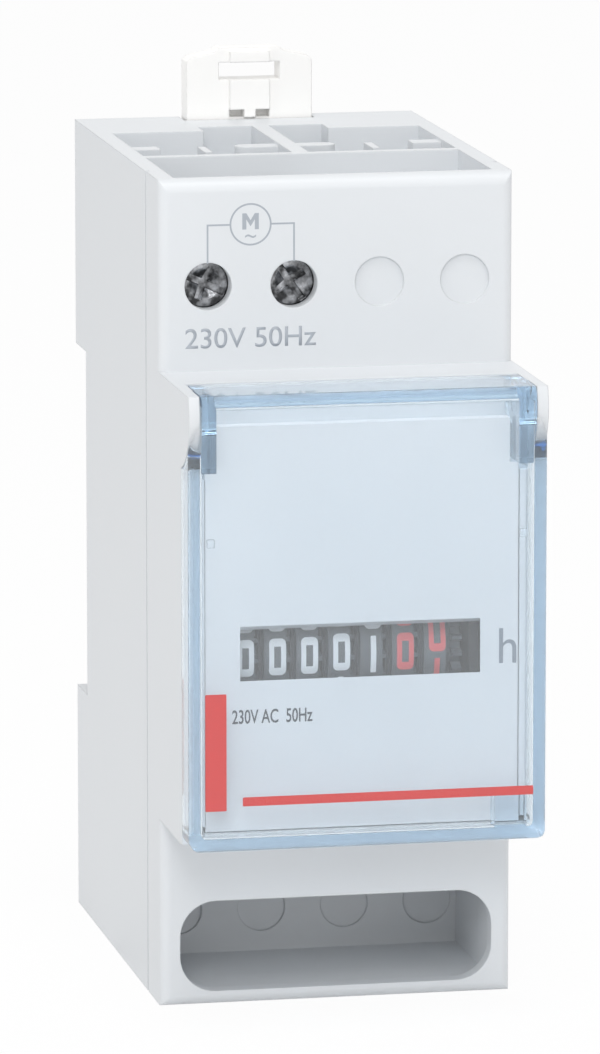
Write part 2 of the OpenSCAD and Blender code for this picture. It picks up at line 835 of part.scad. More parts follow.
module clear_cover() {
    color("#bcd6ea", 0.5) {
        difference() {
            cover_block(half_w, cover_y, nose_z, cover_edge_r);
            difference() {
                translate([0, cover_t, 0])
                    cover_block(half_w - cover_t, cover_y, nose_z - cover_t, 0.4);
                block(
                    [half_w - latch_set - latch_w, cover_y, -nose_z],
                    [half_w - latch_set, cover_rim_y - cover_t, latch_h - nose_z]
                );
            }
            both_sides() {
                rod_x(notch_r, notch_x, half_w + 1, hinge_y, hinge_z);
                block([notch_x, cover_y - 1, notch_z], [half_w + 1, cover_rim_y + 1, nose_z + 1]);
            }
        }
        block([-arm_x, cover_rim_y - 0.5, nose_z - cover_t], [arm_x, top_wall_back_y, nose_z]);
        both_sides() {
            cover_arm();
            block(
                [arm_x - 1.3, cover_y + cover_t / 2, stop_z - stop_h / 2],
                [arm_x - 0.6, cover_y + cover_t + 0.5, stop_z + stop_h / 2]
            );
        }
    }
}

module rail_clip() {
    half = clip_w / 2;
    lip = half - clip_slope_w;
    color(white)
        difference() {
            union() {
                slab_y(clip_front, clip_back)
                    polygon([
                        [-half, hook_z],
                        [half, hook_z],
                        [half, clip_lip_z - clip_slope_h - clip_corner],
                        [half - clip_corner, clip_lip_z - clip_slope_h],
                        [lip, clip_lip_z],
                        [lip - clip_lip_h, clip_top_z],
                        [clip_lip_h - lip, clip_top_z],
                        [-lip, clip_lip_z],
                        [clip_corner - half, clip_lip_z - clip_slope_h],
                        [-half, clip_lip_z - clip_slope_h - clip_corner]
                    ]);
                block(
                    [-half - wing_reach, clip_front, wing_foot_z],
                    [half + wing_reach, clip_front + wing_t, wing_top_z]
                );
                block(
                    [-clip_strip_w / 2, clip_front - clip_strip_t, clip_strip_z],
                    [clip_strip_w / 2, clip_front + 0.1, clip_lip_z]
                );
                block(
                    [-0.6, clip_front - clip_strip_t, top_z + 0.2],
                    [0.6, clip_front + 0.1, clip_strip_z + 0.1]
                );
            }
            both_sides()
                block(
                    [0.6, clip_front - 1, top_z + 0.2],
                    [clip_strip_w / 2, clip_front + clip_notch, clip_strip_z]
                );
            block(
                [-clip_slot_w / 2, -2, clip_slot_z - clip_slot_h / 2],
                [clip_slot_w / 2, clip_back + 1, clip_slot_z + clip_slot_h / 2]
            );
            block([-half - 1, -2, hook_z - 1], [half + 1, hook_y, rail_h / 2 + 0.3]);
            slab_x(-half - 1, half + 1)
                polygon([
                    [clip_back + 0.1, hook_z - 0.1],
                    [clip_back + 0.1, hook_z + 1.3],
                    [clip_back - 1.3, hook_z - 0.1]
                ]);
        }
}

// Clamp screw with a slot and a cross recess, turned round its axis.
module terminal_screw(x, turn) {
    length = cage_y + cage_front_t + 0.2 - head_y;
    head_r = screw_head_d / 2;
    color(steel)
        translate([x, head_y, terminal_z])
            rotate([-90, turn, 0])
                difference() {
                    union() {
                        cylinder(r1 = head_r - screw_rim, r2 = head_r, h = screw_rim);
                        translate([0, 0, screw_rim])
                            cylinder(r = head_r, h = screw_head_h - screw_rim);
                        cylinder(r = screw_d / 2, h = length);
                    }
                    block([-2.2, -0.35, -1], [2.2, 0.35, 0.9]);
                    block([-0.35, -1.7, -1], [0.35, 1.7, 0.9]);
                    translate([0, 0, -0.1])
                        cylinder(r1 = 1.75, r2 = 0.3, h = 0.85);
                }
}

// Clamping cage round the tag, open for the wire from above.
module terminal_cage(x) {
    color(steel)
        difference() {
            block(
                [x - cage_w / 2, cage_y, terminal_z - cage_h / 2],
                [x + cage_w / 2, cage_back_y, terminal_z + cage_h / 2]
            );
            block(
                [x - wire_half_w, cage_y + cage_front_t, terminal_z - cage_h],
                [x + wire_half_w, wire_back_y, terminal_z + cage_h]
            );
            rod_y(screw_d / 2 + thread_gap, cage_y - 1, cage_y + cage_front_t + 1, x, terminal_z);
        }
}

// Contact tag that stands in the shelf and passes through the cage.
module terminal_tag(x) {
    color(brass)
        block([x - tag_w / 2, tag_y, tag_foot_z], [x + tag_w / 2, tag_y + tag_t, ceiling_z - 0.3]);
}

// Lead from a tag to the coil terminal: a sleeve at each end and the wire between them.
module lead_wire(x, coil_x) {
    solder_y = tag_y + tag_t + lead_r;
    run = [coil_x - x, coil_y - solder_y];
    bend_z = tag_foot_z - 2;
    color(black) {
        translate([x, solder_y, bend_z - lead_r])
            cylinder(r = lead_r, h = tag_foot_z + 2 - bend_z + lead_r);
        translate([x, solder_y, bend_z])
            rotate([0, 90, atan2(run.y, run.x)])
                cylinder(r = lead_r - 0.1, h = norm(run));
        translate([coil_x, coil_y, coil_top_z])
            cylinder(r = lead_r, h = bend_z + lead_r - coil_top_z);
    }
}

// Front part of a frame plate, with holes for both shafts.
module frame_outline() {
    difference() {
        rect([dial_back_y, drum_z - plate_foot], [drum_y + plate_reach, drum_z + plate_head]);
        translate([drum_y, drum_z])
            circle(drum_shaft_r + 0.02);
        translate([pinion_y, pinion_z])
            circle(pinion_shaft_r + 0.02);
    }
}

module frame_plate_left() {
    color(black)
        slab_x(plate_left - plate_t, plate_left)
            frame_outline();
}

module frame_plate_right() {
    color(black)
        slab_x(plate_right, plate_outer)
            difference() {
                union() {
                    frame_outline();
                    rect(
                        [drum_y + plate_reach - 0.1, can_z - screw_reach - plate_margin],
                        [room_back_y - 0.1, can_z + screw_reach + plate_margin]
                    );
                }
                translate([inter_y, inter_z])
                    circle(journal_r + shaft_gap);
                translate([motor_y, motor_z])
                    circle(motor_boss_r + gear_play);
                for (s = [-1, 1])
                    translate([can_y, can_z + s * screw_reach])
                        circle(motor_screw_r + 0.03);
            }
}

// Three pillars between the frame plates.
module frame_pillars() {
    color(steel)
        for (p = pillars)
            rod_x(pillar_r, plate_left, plate_right, p.x, p.y);
}

module drum_shaft() {
    color(steel)
        rod_x(drum_shaft_r, plate_left - plate_t, plate_outer, drum_y, drum_z);
}

module pinion_shaft() {
    color(steel)
        rod_x(pinion_shaft_r, plate_left - plate_t, plate_outer, pinion_y, pinion_z);
}

// Number drum: ring, web, hub and carry flange as one turned form, with its tooth ring.
module number_drum(i) {
    bore = drum_shaft_r + shaft_gap;
    half = ring_w / 2;
    hub = drum_hub_w / 2;
    x = drum_first_x + i * drum_pitch;
    color(black) {
        translate([x, drum_y, drum_z])
            rotate([0, 90, 0])
                rotate_extrude()
                    polygon([
                        [bore, -hub],
                        [carry_r - 1, -hub],
                        [carry_r, 0.15 - hub],
                        [carry_r, -half],
                        [carry_r + 0.3, -half],
                        [carry_r + 0.3, 0.2],
                        [drum_r - 0.7, 0.2],
                        [drum_r - 0.7, -half],
                        [drum_r, -half],
                        [drum_r, half],
                        [bore + 1, half],
                        [bore + 1, hub],
                        [bore, hub]
                    ]);
        if (i < drum_count - 1)
            difference() {
                gear(
                    drum_teeth, carry_module, pinion_angle,
                    x + half - 0.1, x + half + tooth_ring_w, drum_y, drum_z
                );
                rod_x(bore + 0.5, x, x + drum_pitch, drum_y, drum_z);
            }
        if (i == drum_count - 1)
            drum_wheel(x + half);
    }
}

// Drive wheel on the side of the last drum.
module drum_wheel(x) {
    bore = drum_shaft_r + shaft_gap;
    inner = plate_right - gear_play;
    difference() {
        union() {
            rod_x(carry_r, x - 0.1, inner - drive_w + 0.1, drum_y, drum_z);
            gear(wheel_teeth, drive_module, drive_angle, inner - drive_w, inner, drum_y, drum_z);
        }
        rod_x(bore, x - 1, plate_right, drum_y, drum_z);
    }
}

// Transfer pinion i, between drum i and the next one.
module transfer_pinion(i) {
    x = drum_first_x + (i + 0.5) * drum_pitch;
    turn = pinion_angle + 180 + 180 / pinion_teeth;
    color(white)
        difference() {
            gear(pinion_teeth, carry_module, turn, x - pinion_w / 2, x + pinion_w / 2, pinion_y, pinion_z);
            rod_x(pinion_shaft_r + shaft_gap, x - 2, x + 2, pinion_y, pinion_z);
        }
}

// Wheel outside the right plate and pinion inside it, on one journal.
module intermediate_gear() {
    inner = plate_right - gear_play;
    outer = plate_outer + gear_play;
    turn = drive_angle + 180 + 180 / inter_pinion_teeth;
    color(white) {
        gear(inter_pinion_teeth, drive_module, turn, inner - drive_w - 0.1, inner, inter_y, inter_z);
        rod_x(journal_r, inner - 0.1, outer + 0.1, inter_y, inter_z);
        gear(inter_wheel_teeth, drive_module, motor_angle, outer, outer + drive_w, inter_y, inter_z);
    }
}

// Output shaft of the motor with its pinion.
module motor_pinion() {
    turn = motor_angle + 180 + 180 / motor_teeth;
    outer = plate_outer + gear_play;
    color(steel) {
        rod_x(motor_shaft_r, flange_x + 0.1, outer + 0.1, motor_y, motor_z);
        gear(motor_teeth, drive_module, turn, outer, outer + drive_w + 0.1, motor_y, motor_z);
    }
}

// Flange that closes the motor and carries its two screw ears.
module motor_flange() {
    color(steel)
        difference() {
            union() {
                rod_x(can_r, flange_x, plate_right, can_y, can_z);
                block(
                    [flange_x, can_y - flange_ear, can_z - screw_reach - flange_ear],
                    [plate_right, can_y + flange_ear, can_z + screw_reach + flange_ear]
                );
                rod_x(motor_boss_r, plate_right - 0.1, plate_outer, motor_y, motor_z);
            }
            rod_x(motor_shaft_r + shaft_gap, flange_x - 1, plate_outer + 1, motor_y, motor_z);
            for (s = [-1, 1])
                rod_x(motor_screw_r + 0.03, flange_x - 1, plate_right + 1, can_y, can_z + s * screw_reach);
        }
}

module motor_can() {
    color("#a9adb0")
        rod_x(can_r, can_x, flange_x, can_y, can_z);
}

// Two screws through flange and right plate.
module motor_screws() {
    color(steel)
        for (s = [-1, 1]) {
            rod_x(motor_screw_r, flange_x, plate_outer, can_y, can_z + s * screw_reach);
            rod_x(motor_head_r, flange_x - motor_head_h, flange_x, can_y, can_z + s * screw_reach);
        }
}

// Insulating block on the can where the leads end.
module coil_terminal() {
    color(black)
        difference() {
            block(
                [-coil_w / 2, coil_y - coil_d / 2, can_z + can_r - 3],
                [coil_w / 2, coil_y + coil_d / 2, coil_top_z]
            );
            rod_x(can_r, can_x - 1, flange_x + 1, can_y, can_z);
        }
}

base_housing();
front_shell();
dial_plate();
clear_cover();
rail_clip();
terminal_screw(terminals[0], 25);  // terminal_screw_left
terminal_screw(terminals[1], 55);  // terminal_screw_right
terminal_cage(terminals[0]);  // terminal_cage_left
terminal_cage(terminals[1]);  // terminal_cage_right
terminal_tag(terminals[0]);  // terminal_tag_left
terminal_tag(terminals[1]);  // terminal_tag_right
lead_wire(terminals[0], -lead_spread / 2);  // lead_wire_left
lead_wire(terminals[1], lead_spread / 2);  // lead_wire_right
frame_plate_left();
frame_plate_right();
frame_pillars();
drum_shaft();
pinion_shaft();
for (i = [0:drum_count - 1])
    number_drum(i);
for (i = [0:drum_count - 2])
    transfer_pinion(i);
intermediate_gear();
motor_pinion();
motor_flange();
motor_can();
motor_screws();
coil_terminal();
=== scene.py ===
"""Finishes, prints and studio for a rail-mounted hour meter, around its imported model."""

from __future__ import annotations

import logging
import math
from dataclasses import dataclass, field
from enum import Enum
from typing import Callable

import bmesh
import bpy
from mathutils import Matrix, Vector


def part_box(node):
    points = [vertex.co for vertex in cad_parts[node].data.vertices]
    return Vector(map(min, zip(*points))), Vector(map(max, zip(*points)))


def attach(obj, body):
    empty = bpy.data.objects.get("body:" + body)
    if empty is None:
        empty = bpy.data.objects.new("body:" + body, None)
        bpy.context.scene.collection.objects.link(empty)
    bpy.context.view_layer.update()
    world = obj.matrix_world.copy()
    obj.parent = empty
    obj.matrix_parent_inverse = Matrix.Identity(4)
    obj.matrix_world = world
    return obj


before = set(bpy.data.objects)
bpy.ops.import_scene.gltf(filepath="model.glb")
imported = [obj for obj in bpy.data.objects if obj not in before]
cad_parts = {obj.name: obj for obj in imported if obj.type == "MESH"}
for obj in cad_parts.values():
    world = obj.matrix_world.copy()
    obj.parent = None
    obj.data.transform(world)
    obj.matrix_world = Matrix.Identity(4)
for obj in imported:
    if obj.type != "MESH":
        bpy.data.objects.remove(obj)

LOG = logging.getLogger("hour_meter")
MM = 0.001
WELD_M = 1e-7
BUMP_STRENGTH = 0.6
EDGE_SAMPLES = 6
CORNER_SEGMENTS = 5
LETTER_CURVES = 6
# Patchy colour of the turned metals: a faint stain on most of them, and on the screws painted reflections,
# with dark patches and bright glints.
STAIN_AND_REFLECTION_SCALE = 900.0
DARKEST_STAIN_AND_REFLECTION = 0.25
SCRATCH_SPREAD = 0.25
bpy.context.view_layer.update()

Colour = tuple[float, float, float]


def ink(red: int, green: int, blue: int) -> Colour:
    """Turn a screen colour into the linear one that shaders take.

    Args:
        red: Red on the screen, 0 to 255.
        green: Green on the screen, 0 to 255.
        blue: Blue on the screen, 0 to 255.

    Returns:
        The same colour in linear light.
    """

    def linear(level: int) -> float:
        """One channel in linear light."""
        share = level / 255
        return share / 12.92 if share <= 0.04045 else ((share + 0.055) / 1.055) ** 2.4

    return linear(red), linear(green), linear(blue)


# Shader groups


def add_socket(tree: bpy.types.NodeTree, label: str, way: str, kind: str) -> None:
    """Add one named socket to a node group.

    Args:
        tree: The node group.
        label: Name of the socket.
        way: INPUT or OUTPUT.
        kind: Socket type without its NodeSocket prefix.
    """
    tree.interface.new_socket(label, in_out=way, socket_type=f"NodeSocket{kind}")


class NodeBoard:
    """Adds and wires nodes in one tree, so that a group reads from left to right."""

    def __init__(self, tree: bpy.types.NodeTree) -> None:
        """Keep the tree to work in."""
        self.tree = tree

    def add(self, kind: str, **settings: object) -> bpy.types.Node:
        """Add a node and set its properties.

        Args:
            kind: Node type without its ShaderNode prefix.
            settings: Properties of the node.

        Returns:
            The new node.
        """
        prefix = "" if kind.startswith("NodeGroup") else "ShaderNode"
        node = self.tree.nodes.new(prefix + kind)
        for key, value in settings.items():
            setattr(node, key, value)
        return node

    def join(self, start: bpy.types.NodeSocket, end: bpy.types.NodeSocket) -> None:
        """Link two sockets."""
        self.tree.links.new(start, end)

    def math(self, operation: str, first: object, second: object) -> bpy.types.NodeSocket:
        """Add a math node on two sockets or numbers.

        Args:
            operation: The math node's operation.
            first: A socket or a number.
            second: A socket or a number.

        Returns:
            The node's output socket.
        """
        node = self.add("Math", operation=operation)
        for slot, value in zip(node.inputs, (first, second)):
            if isinstance(value, bpy.types.NodeSocket):
                self.join(value, slot)
            else:
                slot.default_value = value
        return node.outputs[0]

    def scale_colour(self, colour: bpy.types.NodeSocket, by: bpy.types.NodeSocket) -> bpy.types.NodeSocket:
        """Make a colour lighter or darker.

        Args:
            colour: The colour.
            by: What it is multiplied by.

        Returns:
            The changed colour.
        """
        node = self.add("VectorMath", operation="SCALE")
        self.join(colour, node.inputs[0])
        self.join(by, node.inputs["Scale"])
        return node.outputs[0]

    def noise(self, place: bpy.types.NodeSocket, scale: object, detail: float) -> bpy.types.NodeSocket:
        """Add a noise texture.

        Args:
            place: Coordinates that the noise reads.
            scale: A socket or a number, in cells per metre.
            detail: Octaves of the noise.

        Returns:
            The noise value, 0 to 1.
        """
        node = self.add("TexNoise")
        self.join(place, node.inputs["Vector"])
        node.inputs["Detail"].default_value = detail
        if isinstance(scale, bpy.types.NodeSocket):
            self.join(scale, node.inputs["Scale"])
        else:
            node.inputs["Scale"].default_value = scale
        return node.outputs["Fac"]


class GroupName(Enum):
    """Shader groups that several finishes share."""

    MOULDED = "moulded_surface"
    TURNED = "turned_surface"


def start_group(name: GroupName, inputs: dict[str, str]) -> bpy.types.NodeTree:
    """Start a shader group that gives colour, roughness and height.

    Args:
        name: Name of the group.
        inputs: Socket name to socket type, in order.

    Returns:
        The group with its sockets and no nodes.
    """
    tree = bpy.data.node_groups.new(name.value, "ShaderNodeTree")
    for label, kind in inputs.items():
        add_socket(tree, label, "INPUT", kind)
    for label, kind in {"Colour": "Color", "Roughness": "Float", "Height": "Float"}.items():
        add_socket(tree, label, "OUTPUT", kind)
    return tree


def moulded_group() -> bpy.types.NodeTree:
    """Group for moulded and painted surfaces: cloudy colour, uneven gloss and a fine grain.

    Returns:
        The node group, built once.
    """
    known = bpy.data.node_groups.get(GroupName.MOULDED.value)
    if known:
        return known
    levels = ("Mottle", "Cloud Scale", "Roughness", "Gloss Spread", "Grain Scale")
    tree = start_group(GroupName.MOULDED, {"Colour": "Color", **dict.fromkeys(levels, "Float")})
    board = NodeBoard(tree)
    given = board.add("NodeGroupInput").outputs
    result = board.add("NodeGroupOutput").inputs
    place = board.add("TexCoord").outputs["Object"]
    cloud = board.noise(place, given["Cloud Scale"], detail=3)
    shade = board.math("MULTIPLY_ADD", board.math("SUBTRACT", cloud, 0.5), given["Mottle"])
    shade.node.inputs[2].default_value = 1
    board.join(board.scale_colour(given["Colour"], shade), result["Colour"])
    grain = board.noise(place, given["Grain Scale"], detail=2)
    spread = board.math("MULTIPLY", board.math("SUBTRACT", grain, 0.5), given["Gloss Spread"])
    smear = board.math("MULTIPLY", board.math("SUBTRACT", cloud, 0.5), given["Gloss Spread"])
    uneven = board.math("ADD", spread, smear)
    board.join(board.math("ADD", uneven, given["Roughness"]), result["Roughness"])
    board.join(grain, result["Height"])
    return tree


def turned_group() -> bpy.types.NodeTree:
    """Group for turned metal: rings round the piece's own Y axis and a fine scratch.

    Returns:
        The node group, built once.
    """
    known = bpy.data.node_groups.get(GroupName.TURNED.value)
    if known:
        return known
    levels = dict.fromkeys(("Roughness", "Ring Scale", "Stain And Reflection"), "Float")
    tree = start_group(GroupName.TURNED, {"Place": "Vector", "Colour": "Color", **levels})
    board = NodeBoard(tree)
    given = board.add("NodeGroupInput").outputs
    result = board.add("NodeGroupOutput").inputs
    axes = board.add("SeparateXYZ")
    board.join(given["Place"], axes.inputs[0])
    across = board.math("MULTIPLY", axes.outputs["X"], axes.outputs["X"])
    upward = board.math("MULTIPLY", axes.outputs["Z"], axes.outputs["Z"])
    radius = board.math("SQRT", board.math("ADD", across, upward), 0.0)
    rings = board.math("SINE", board.math("MULTIPLY", radius, given["Ring Scale"]), 0.0)
    # Noise makes the colour patchy: a faint stain at low levels, and at high levels painted reflections of
    # dark patches and bright glints.
    stain_and_reflection = board.noise(given["Place"], STAIN_AND_REFLECTION_SCALE, detail=4)
    patch = board.math("MULTIPLY_ADD", board.math("SUBTRACT", stain_and_reflection, 0.5), given["Stain And Reflection"])
    patch.node.inputs[2].default_value = 1
    shade = board.math("MAXIMUM", patch, DARKEST_STAIN_AND_REFLECTION)
    board.join(board.scale_colour(given["Colour"], shade), result["Colour"])
    scratch = board.math("MULTIPLY", board.math("SUBTRACT", stain_and_reflection, 0.5), SCRATCH_SPREAD)
    board.join(board.math("ADD", scratch, given["Roughness"]), result["Roughness"])
    board.join(rings, result["Height"])
    return tree


# Finishes


def place_group(board: NodeBoard, tree: bpy.types.NodeTree, values: dict[str, object]) -> bpy.types.Node:
    """Put a shader group into a material and set its inputs.

    Args:
        board: The material's nodes.
        tree: The group.
        values: Input name to number or colour.

    Returns:
        The group's node.
    """
    node = board.add("Group", node_tree=tree)
    for label, value in values.items():
        node.inputs[label].default_value = value
    return node


def start_material(name: str) -> tuple[bpy.types.Material, NodeBoard, bpy.types.Node]:
    """Make an empty node material with its main shader.

    Args:
        name: Name of the material.

    Returns:
        The material, its board of nodes and its Principled shader.
    """
    material = bpy.data.materials.new(name)
    material.use_nodes = True
    board = NodeBoard(material.node_tree)
    return material, board, material.node_tree.nodes["Principled BSDF"]


def wire_surface(
    board: NodeBoard, group: bpy.types.Node, shader: bpy.types.Node, depth_mm: float, edge_mm: float = 0.0,
) -> None:
    """Feed a group's colour, gloss and relief into the main shader.

    Args:
        board: The material's nodes.
        group: The placed group.
        shader: The Principled shader.
        depth_mm: Depth of the relief.
        edge_mm: Radius at which edges catch the light, none where it is 0.
    """
    board.join(group.outputs["Colour"], shader.inputs["Base Color"])
    board.join(group.outputs["Roughness"], shader.inputs["Roughness"])
    bump = board.add("Bump")
    bump.inputs["Strength"].default_value = BUMP_STRENGTH
    bump.inputs["Distance"].default_value = depth_mm * MM
    board.join(group.outputs["Height"], bump.inputs["Height"])
    board.join(bump.outputs["Normal"], shader.inputs["Normal"])
    if edge_mm:
        edge = board.add("Bevel", samples=EDGE_SAMPLES)
        edge.inputs["Radius"].default_value = edge_mm * MM
        board.join(edge.outputs["Normal"], bump.inputs["Normal"])


@dataclass(frozen=True)
class Moulded:
    """Opaque plastic or ink with a little life in colour, gloss and grain."""

    name: str
    colour: Colour
    roughness: float = 0.42
    mottle: float = 0.04
    cloud_mm: float = 9.0
    gloss_spread: float = 0.12
    grain_mm: float = 0.3
    depth_mm: float = 0.008
    specular: float = 0.5
    edge_mm: float = 0.0

    def make(self) -> bpy.types.Material:
        """Build the material.

        Returns:
            The finished material.
        """
        material, board, shader = start_material(self.name)
        group = place_group(board, moulded_group(), {
            "Colour": (*self.colour, 1),
            "Mottle": self.mottle,
            "Cloud Scale": 1 / (self.cloud_mm * MM),
            "Roughness": self.roughness,
            "Gloss Spread": self.gloss_spread,
            "Grain Scale": 1 / (self.grain_mm * MM),
        })
        wire_surface(board, group, shader, self.depth_mm, self.edge_mm)
        shader.inputs["Specular IOR Level"].default_value = self.specular
        return material


@dataclass(frozen=True)
class TurnedMetal:
    """Plated metal with rings from turning, centred on a point of the piece."""

    name: str
    colour: Colour
    centre_mm: tuple[float, float, float] = (0.0, 0.0, 0.0)
    roughness: float = 0.32
    # Strength of the patchy colour: a faint stain when low, painted reflections and glints when high.
    stain_and_reflection: float = 0.5
    ring_mm: float = 0.12
    depth_mm: float = 0.004
    edge_mm: float = 0.1

    def make(self) -> bpy.types.Material:
        """Build the material.

        Returns:
            The finished material.
        """
        material, board, shader = start_material(self.name)
        place = board.add("Mapping")
        place.inputs["Location"].default_value = [-MM * value for value in self.centre_mm]
        board.join(board.add("TexCoord").outputs["Object"], place.inputs["Vector"])
        group = place_group(board, turned_group(), {
            "Colour": (*self.colour, 1),
            "Roughness": self.roughness,
            "Ring Scale": 2 * math.pi / (self.ring_mm * MM),
            "Stain And Reflection": self.stain_and_reflection,
        })
        board.join(place.outputs["Vector"], group.inputs["Place"])
        wire_surface(board, group, shader, self.depth_mm, self.edge_mm)
        shader.inputs["Metallic"].default_value = 1
        return material


@dataclass(frozen=True)
class ClearPlastic:
    """Tinted clear plastic whose edges show the tint, and which lets the lamps through."""

    name: str
    colour: Colour
    shadow_colour: Colour
    body_colour: Colour
    density: float
    haze: float = 0.07
    roughness: float = 0.04
    ior: float = 1.46
    mottle: float = 0.02
    cloud_scale: float = 90.0
    gloss_spread: float = 0.03
    grain_scale: float = 700.0
    depth_mm: float = 0.002

    def make(self) -> bpy.types.Material:
        """Build the material.

        Returns:
            The finished material.
        """
        material, board, shader = start_material(self.name)
        group = place_group(board, moulded_group(), {
            "Colour": (*self.colour, 1),
            "Mottle": self.mottle,
            "Cloud Scale": self.cloud_scale,
            "Roughness": self.roughness,
            "Gloss Spread": self.gloss_spread,
            "Grain Scale": self.grain_scale,
        })
        wire_surface(board, group, shader, self.depth_mm)
        shader.inputs["Transmission Weight"].default_value = 1 - self.haze
        shader.inputs["IOR"].default_value = self.ior
        gap = board.add("BsdfTransparent")
        gap.inputs["Color"].default_value = (*self.shadow_colour, 1)
        path = board.add("LightPath")
        mix = board.add("MixShader")
        board.join(path.outputs["Is Shadow Ray"], mix.inputs["Fac"])
        board.join(shader.outputs["BSDF"], mix.inputs[1])
        board.join(gap.outputs["BSDF"], mix.inputs[2])
        absorb = board.add("VolumeAbsorption")
        absorb.inputs["Color"].default_value = (*self.body_colour, 1)
        absorb.inputs["Density"].default_value = self.density
        output = material.node_tree.nodes["Material Output"]
        board.join(mix.outputs["Shader"], output.inputs["Surface"])
        board.join(absorb.outputs["Volume"], output.inputs["Volume"])
        return material


HOUSING_GREY = Moulded("housing_grey", ink(219, 222, 225), mottle=0.03, cloud_mm=16, edge_mm=0.2)
CLIP_WHITE = Moulded("clip_white", ink(250, 249, 247), roughness=0.36, edge_mm=0.25)
DIAL_WHITE = Moulded("dial_white", ink(221, 222, 224), roughness=0.5, grain_mm=0.5, depth_mm=0.004)
COVER_CLEAR = ClearPlastic(
    "cover_clear",
    colour=ink(252, 252, 252),
    shadow_colour=ink(240, 240, 241),
    body_colour=ink(10, 190, 240),
    density=75.0,
)
DRUM_BLACK = Moulded("drum_black", ink(100, 103, 107), roughness=0.45, mottle=0.2)
FRAME_BLACK = Moulded("frame_black", ink(44, 45, 47), roughness=0.5, mottle=0.2)
GEAR_WHITE = Moulded("gear_white", ink(232, 230, 222), roughness=0.4)
COIL_BLACK = Moulded("coil_black", ink(30, 30, 32), roughness=0.55, mottle=0.2)
LEAD_BLACK = Moulded("lead_black", ink(38, 38, 40), roughness=0.6, mottle=0.2)
DIGIT_WHITE = Moulded("digit_white", ink(244, 246, 248), roughness=0.5, grain_mm=0.15, depth_mm=0.002)
DIGIT_RED = Moulded("digit_red", ink(238, 106, 108), roughness=0.5, grain_mm=0.15, depth_mm=0.002)
PRINT_GREY = Moulded("print_grey", ink(168, 174, 182), roughness=0.55, grain_mm=0.1, depth_mm=0.002)
PRINT_UNIT = Moulded("print_unit", ink(132, 138, 146), roughness=0.55, grain_mm=0.1, depth_mm=0.002)
PRINT_DARK = Moulded("print_dark", ink(48, 51, 56), roughness=0.55, grain_mm=0.1, depth_mm=0.002)
PRINT_RED = Moulded("print_red", ink(214, 14, 12), roughness=0.4, grain_mm=0.2, depth_mm=0.002)
SHAFT_STEEL = TurnedMetal("shaft_steel", (0.55, 0.56, 0.58), roughness=0.25)
MOTOR_STEEL = TurnedMetal("motor_steel", (0.52, 0.53, 0.55), roughness=0.38, ring_mm=0.5)
CAGE_STEEL = TurnedMetal("cage_steel", (0.55, 0.55, 0.56), roughness=0.4, ring_mm=0.4)
TAG_BRASS = TurnedMetal("tag_brass", (0.72, 0.55, 0.26), roughness=0.35, ring_mm=0.4)


class Wardrobe:
    """Makes each finish once and puts it on pieces."""

    def __init__(self) -> None:
        """Start with no finish made."""
        self.made: dict[str, bpy.types.Material] = {}

    def dress(self, piece: bpy.types.Object, finish: Moulded | TurnedMetal | ClearPlastic) -> None:
        """Put one finish all over a piece.

        Args:
            piece: The piece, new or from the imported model.
            finish: The finish to wear.
        """
        if finish.name not in self.made:
            self.made[finish.name] = finish.make()
        piece.data.materials.clear()
        piece.data.materials.append(self.made[finish.name])
        LOG.info("%s wears %s", piece.name, finish.name)

    def dress_nodes(self, names: list[str], finish: Moulded | TurnedMetal | ClearPlastic) -> None:
        """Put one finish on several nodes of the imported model.

        Args:
            names: Node names.
            finish: The finish to wear.
        """
        for name in names:
            self.dress(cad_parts[name], finish)


WARDROBE = Wardrobe()


# Modelling bench


